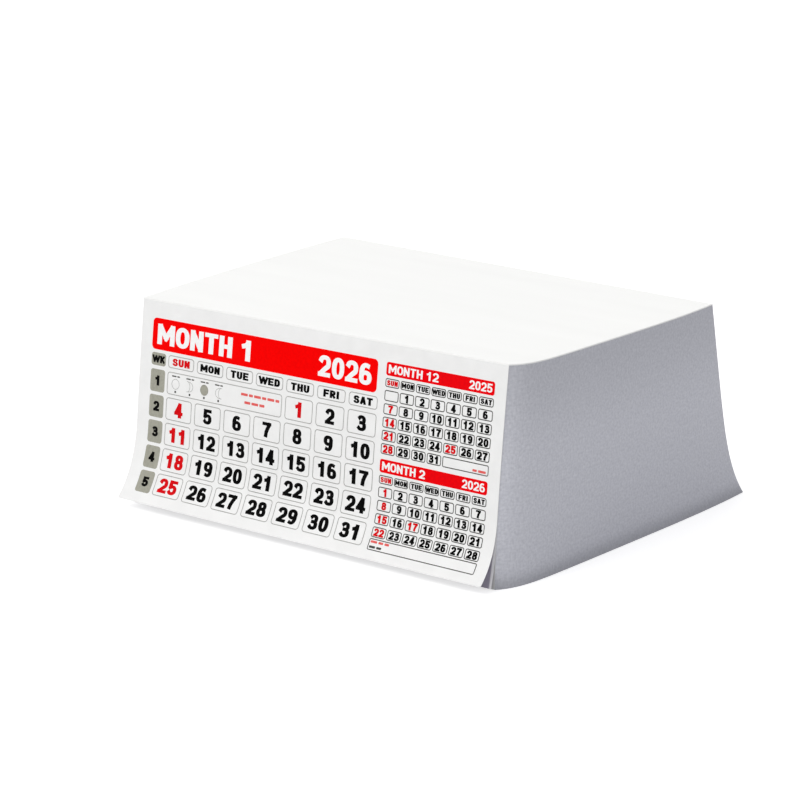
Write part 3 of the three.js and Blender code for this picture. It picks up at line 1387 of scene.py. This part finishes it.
@dataclass
class LeafPrint:
    """Everything that is printed on the front leaf.

    Solid areas and the lettering on bare paper stand at one height over the sheet. Ruled lines start a
    little lower, and what is printed over a solid area stands just clear of it.
    """

    HEADINGS = ("SUN", "MON", "TUE", "WED", "THU", "FRI", "SAT")

    curve: LeafCurve
    main: MainMonth = MainMonth()
    sides: tuple[SideMonth, ...] = (PREVIOUS_MONTH, NEXT_MONTH)
    sheet: float = 0.1
    rule_gap: float = 0.002
    rule_depth: float = 0.014
    solid_lift: float = 0.104
    solid_depth: float = 0.012
    over_lift: float = 0.118
    bar_inset: float = 0.22
    small_red_print: tuple[SmallPrint, ...] = (
        SmallPrint(44.0, 23.6, 16.2),
        SmallPrint(45.6, 26.0, 8.4),
        SmallPrint(135.0, 31.6, 5.2, 0.7),
        SmallPrint(101.3, 58.8, 7.0, 0.7),
    )
    small_dark_print: tuple[SmallPrint, ...] = (SmallPrint(101.3, 60.4, 4.6, 0.7),)
    week_style: LetterStyle = LetterStyle(3.2, 1.0, (0.34, 0.25))
    week_heading_style: LetterStyle = LetterStyle(2.3, 1.1, (0.34, 0.25))
    moon_radius: float = 1.7
    moon_line: float = 0.16
    moon_top: float = 23.2
    moon_places: tuple[float, float, float, float] = (16.1, 22.3, 28.5, 34.6)
    caption_rise: float = 0.75
    caption_height: float = 0.4
    caption_gap: float = 0.3
    mark_inset: float = 0.3
    mark_drop: float = 0.7
    mark_size: float = 0.7

    def __post_init__(self) -> None:
        """Makes the inks and the tool that rules cells."""
        self.inks = {ink: ink.build() for ink in Ink}
        self.ruler = CellRuler(self.curve, self.sheet + self.rule_gap, self.rule_depth)

    def stamp(
        self, name: str, shapes: Sequence[tuple[Points, Faces]], ink: Ink, slot: str, *nodes: str
    ) -> None:
        """Joins flat shapes, lays them on the leaf and makes them a piece.

        Args:
            name: the piece's name.
            shapes: flat points with their faces.
            ink: the ink they are printed in.
            slot: the record's material slot.
            *nodes: the CAD nodes that they stand for.
        """
        points, faces, start = [], [], 0
        for shape_points, shape_faces in shapes:
            points.append(shape_points)
            faces += [tuple(start + i for i in face) for face in shape_faces]
            start += len(shape_points)
        mesh = make_mesh(name, self.curve.lay(np.concatenate(points)), faces)
        mesh.materials.append(self.inks[ink])
        make_piece(name, mesh, slot, *nodes)

    def solids(self, panels: Sequence[MonthPanel]) -> None:
        """Prints the red bars, the grey week cells and the full moon.

        Args:
            panels: the months, the leaf's own one first.
        """
        flush = (self.solid_lift, self.solid_depth)
        for panel in panels:
            bar = panel.bar.flat(*flush)
            ink = Ink.BAR_RED if panel is panels[0] else Ink.SIDE_BAR_RED
            self.stamp(f"{panel.name}_red_bar", [bar], ink, "red_ink", f"{panel.name}_bar")
        cell = self.main.week_cells()
        fields = [self.main.week_heading()] + [
            SolidField(cell.left, cell.top + row * cell.row_pitch, cell.width, cell.height, cell.corner)
            for row in range(cell.rows)
        ]
        nodes = ["week_heading_cell"] + [f"week_cell_{row + 1}" for row in range(cell.rows)]
        for field, node in zip(fields, nodes):
            self.stamp(f"{node}_print", [field.flat(*flush)], Ink.WEEK_GREY, "grey_ink", node)
        size, radius = 2 * self.moon_radius, self.moon_radius
        moon = SolidField(self.moon_places[2] - radius, self.moon_top, size, size, radius)
        self.stamp("full_moon", [moon.flat(*flush)], Ink.WEEK_GREY, "grey_ink")

    def rules(self, panels: Sequence[MonthPanel]) -> None:
        """Rules the cells of each month, and the round moons in the first.

        Args:
            panels: the months, the leaf's own one first.
        """
        size, radius = 2 * self.moon_radius, self.moon_radius
        for panel in panels:
            runs = [panel.headings, panel.dates, *panel.notes]
            if panel is panels[0]:
                runs += [
                    CellRuns(x - radius, self.moon_top, size, size, corner=radius, line=self.moon_line)
                    for x in self.moon_places[::2]
                ]
            mesh = self.ruler.draw(f"{panel.name}_cells", runs, self.inks[panel.rule])
            make_piece(f"{panel.name}_cells", mesh, "rule_ink", f"{panel.name}_frame")

    def numbers(self, panels: Sequence[MonthPanel]) -> None:
        """Sets the month numbers in the bars, the weekdays, the dates and the week numbers.

        Args:
            panels: the months, the leaf's own one first.
        """
        white, black, red = [], [], []
        over = (self.over_lift, self.solid_depth)
        flush = (self.solid_lift, self.solid_depth)
        for panel in panels:
            bar = panel.bar
            middle = -(bar.top + bar.height / 2)
            inset = self.bar_inset * bar.height
            for words, style, edge, end in (
                (panel.month, panel.month_style, bar.left + inset, np.min),
                (panel.year, panel.year_style, bar.left + bar.width - inset, np.max),
            ):
                points, faces = BoldLettering(style).set(words, 0, middle, *over)
                points[:, 0] += edge - end(points[:, 0])
                white.append((points, faces))
            for column, day_name in enumerate(self.HEADINGS):
                x, y = panel.headings.centre(column, 0)
                shape = BoldLettering(panel.name_style).set(day_name, x, y, *flush)
                (red if column == 0 else black).append(shape)
            for day, x, y, is_red in panel.date_places():
                shape = BoldLettering(panel.date_style).set(str(day), x, y, *flush)
                (red if is_red else black).append(shape)
        cell, heading = self.main.week_cells(), self.main.week_heading()
        for week in range(cell.rows):
            x, y = cell.centre(0, week)
            black.append(BoldLettering(self.week_style).set(str(week + 1), x, y, *over))
        x, y = heading.left + heading.width / 2, -heading.top - heading.height / 2
        black.append(BoldLettering(self.week_heading_style).set("WK", x, y, *over))
        self.stamp("bar_numbers", white, Ink.BARE_WHITE, "paper")
        self.stamp("black_numbers", black, Ink.BLACK, "rule_ink")
        self.stamp("red_numbers", red, Ink.DATE_RED, "red_ink")

    def small_print(self) -> None:
        """Prints the lines too small to read, in the note cells and at the moons, and the crescents."""
        flush = (self.solid_lift, self.solid_depth)
        size, radius = 2 * self.moon_radius, self.moon_radius
        above, below = self.moon_top - self.caption_rise, self.moon_top + size + self.mark_drop
        captions = tuple(
            SmallPrint(x - radius, above, size, self.caption_height, self.caption_gap)
            for x in self.moon_places
        )
        marks = tuple(
            SmallPrint(x - self.mark_inset, below, self.mark_size, self.mark_size) for x in self.moon_places
        )
        prints = (
            ("small_red_print", self.small_red_print, Ink.PALE_RED, "red_ink"),
            ("small_dark_print", self.small_dark_print + captions + marks, Ink.FINE_RULE_GREY, "rule_ink"),
        )
        for name, lines, ink, slot in prints:
            shapes = [dash.flat(*flush) for row in lines for dash in row.dashes()]
            self.stamp(name, shapes, ink, slot)
        share = self.moon_line / size
        pen = BoldLettering(LetterStyle(size, pen=(share, share)))
        crescents = [
            pen.set(shape, x, -self.moon_top - radius, *flush)
            for shape, x in zip(")(", self.moon_places[1::2])
        ]
        self.stamp("crescent_moons", crescents, Ink.RULE_GREY, "rule_ink")

    def build(self) -> None:
        """Prints the whole leaf."""
        panels = (self.main.panel(), *(month.panel() for month in self.sides))
        self.solids(panels)
        self.rules(panels)
        self.numbers(panels)
        self.small_print()


# The studio


@dataclass(frozen=True)
class Studio:
    """A white floor without a horizon, soft light from above and the left, and the camera."""

    sky_left: tuple[float, float, float] = (1.05, 1.05, 1.05)
    sky_right: tuple[float, float, float] = (0.35, 0.352, 0.38)
    key: float = 1.1
    key_direction: tuple[float, float, float] = (-0.3, -0.54, 0.79)
    key_spread: float = 40.0
    floor_shade: float = 0.8
    floor_shade_seen: float = 0.62
    floor_glow: float = 0.66
    floor_half_width: float = 3000.0
    lens: float = 122.6
    sensor: float = 36.0
    sight_m: float = 20.0
    camera_place: tuple[float, float, float] = (528.37, -635.86, 250.19)
    camera_right: tuple[float, float, float] = (0.76575, 0.643, -0.01343)
    camera_down: tuple[float, float, float] = (0.15362, -0.20315, -0.96702)
    camera_forward: tuple[float, float, float] = (-0.62452, 0.73844, -0.25434)

    @staticmethod
    def seen_straight(tree: bpy.types.NodeTree) -> bpy.types.NodeSocket:
        """Tells the rays that are seen, straight, off gloss or through glass, from those that light things.

        Args:
            tree: the material's or the world's nodes.

        Returns:
            An output that is 1 for the rays that are seen.
        """
        path = add_node(tree, "ShaderNodeLightPath").outputs
        larger = {"operation": "MAXIMUM"}
        seen = path["Is Camera Ray"]
        for kind in ("Is Glossy Ray", "Is Transmission Ray"):
            seen = add_node(tree, "ShaderNodeMath", larger, n0=seen, n1=path[kind]).outputs[0]
        return seen

    def backdrop(self) -> None:
        """Makes the world white to look at, and to light things by, softer and dimmer towards the right."""
        world = bpy.data.worlds.new("white studio")
        bpy.context.scene.world = world
        world.use_nodes = True
        tree = world.node_tree
        background = tree.nodes["Background"]
        background.inputs["Color"].default_value = (1, 1, 1, 1)
        direction = add_node(tree, "ShaderNodeTexCoord").outputs["Generated"]
        rightward = add_node(tree, "ShaderNodeSeparateXYZ", Vector=direction).outputs["X"]
        share = add_node(tree, "ShaderNodeMapRange", Value=rightward, From_Min=-1.0).outputs["Result"]
        change = [right - left for left, right in zip(self.sky_left, self.sky_right)]
        sky = add_node(
            tree, "ShaderNodeVectorMath", {"operation": "MULTIPLY_ADD"}, n0=share, n1=change, n2=self.sky_left
        )
        soft = add_node(tree, "ShaderNodeBackground", Color=sky.outputs["Vector"])
        seen = self.seen_straight(tree)
        both = add_node(
            tree, "ShaderNodeMixShader", Fac=seen, n1=soft.outputs[0], n2=background.outputs[0]
        )
        tree.links.new(both.outputs[0], tree.nodes["World Output"].inputs["Surface"])

    def floor(self) -> None:
        """Makes the white floor, which keeps the block's shadow, fainter where it is seen straight."""
        corners = np.array([(-1, -1), (1, -1), (1, 1), (-1, 1)]) * self.floor_half_width
        mesh = make_mesh("floor", np.column_stack([corners, np.zeros(4)]), [(0, 1, 2, 3)])
        material = bpy.data.materials.new("white floor")
        material.use_nodes = True
        tree = material.node_tree
        shader = tree.nodes["Principled BSDF"]
        shader.inputs["Roughness"].default_value = 1.0
        shader.inputs["Specular IOR Level"].default_value = 0.0
        shader.inputs["Emission Color"].default_value = (1, 1, 1, 1)
        seen = self.seen_straight(tree)
        for name, unseen_value, seen_value in (
            ("Base Color", self.floor_shade, self.floor_shade_seen),
            ("Emission Strength", 0.0, self.floor_glow),
        ):
            value = add_node(tree, "ShaderNodeMapRange", Value=seen, To_Min=unseen_value, To_Max=seen_value)
            tree.links.new(value.outputs["Result"], shader.inputs[name])
        mesh.materials.append(material)
        floor = bpy.data.objects.new("floor", mesh)
        bpy.context.scene.collection.objects.link(floor)

    def light(self) -> None:
        """Hangs one broad soft light."""
        lamp = bpy.data.lights.new("broad soft light", "SUN")
        lamp.energy = self.key
        lamp.angle = math.radians(self.key_spread)
        holder = bpy.data.objects.new("broad soft light", lamp)
        holder.rotation_euler = Vector(self.key_direction).to_track_quat("Z", "Y").to_euler()
        bpy.context.scene.collection.objects.link(holder)

    def camera(self) -> None:
        """Sets the camera where the picture was taken from."""
        data = bpy.data.cameras.new("camera")
        data.lens, data.sensor_width, data.clip_end = self.lens, self.sensor, self.sight_m
        camera = bpy.data.objects.new("camera", data)
        axes = (Vector(self.camera_right), -Vector(self.camera_down), -Vector(self.camera_forward))
        turn = Matrix([axis.normalized() for axis in axes]).transposed().to_4x4()
        camera.matrix_world = Matrix.Translation(Vector(self.camera_place) * MM) @ turn
        bpy.context.scene.collection.objects.link(camera)
        bpy.context.scene.camera = camera

    def build(self) -> None:
        """Builds the whole studio."""
        bpy.context.scene.view_settings.view_transform = "Standard"
        self.backdrop()
        self.floor()
        self.light()
        self.camera()


def main() -> None:
    """Loads the frame, builds each piece in order and notes each piece's faces."""
    logging.basicConfig(level=logging.INFO, format="%(name)s: %(message)s")
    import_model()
    paper, edges = OffsetPaper().build(), TrimmedEdges().build()
    shape = PileShape()
    LeafPile(shape).build(edges, paper)
    GlueFilm(shape).build(PaddingGlue().build())
    second_peel = Peel(length_left=20.5, length_right=18.0, reach_left=2.2, reach_right=1.5)
    front_peel = Peel(
        length_left=26.5, length_right=20.5, reach_left=7.6, reach_right=6.3, middle_slack=0.8
    )
    second = LeafCurve(shape, stand_off=0.05, peel=second_peel)
    front = LeafCurve(shape, stand_off=0.2, peel=front_peel)
    LooseLeaf("second_sheet", "second_leaf", second).build(NextLeafPaper().build())
    LooseLeaf("front_sheet", "front_leaf", front).build(paper)
    LeafPrint(front).build()
    Studio().build()
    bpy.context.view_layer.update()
    log.info("built")


if __name__ == "__main__":
    main()
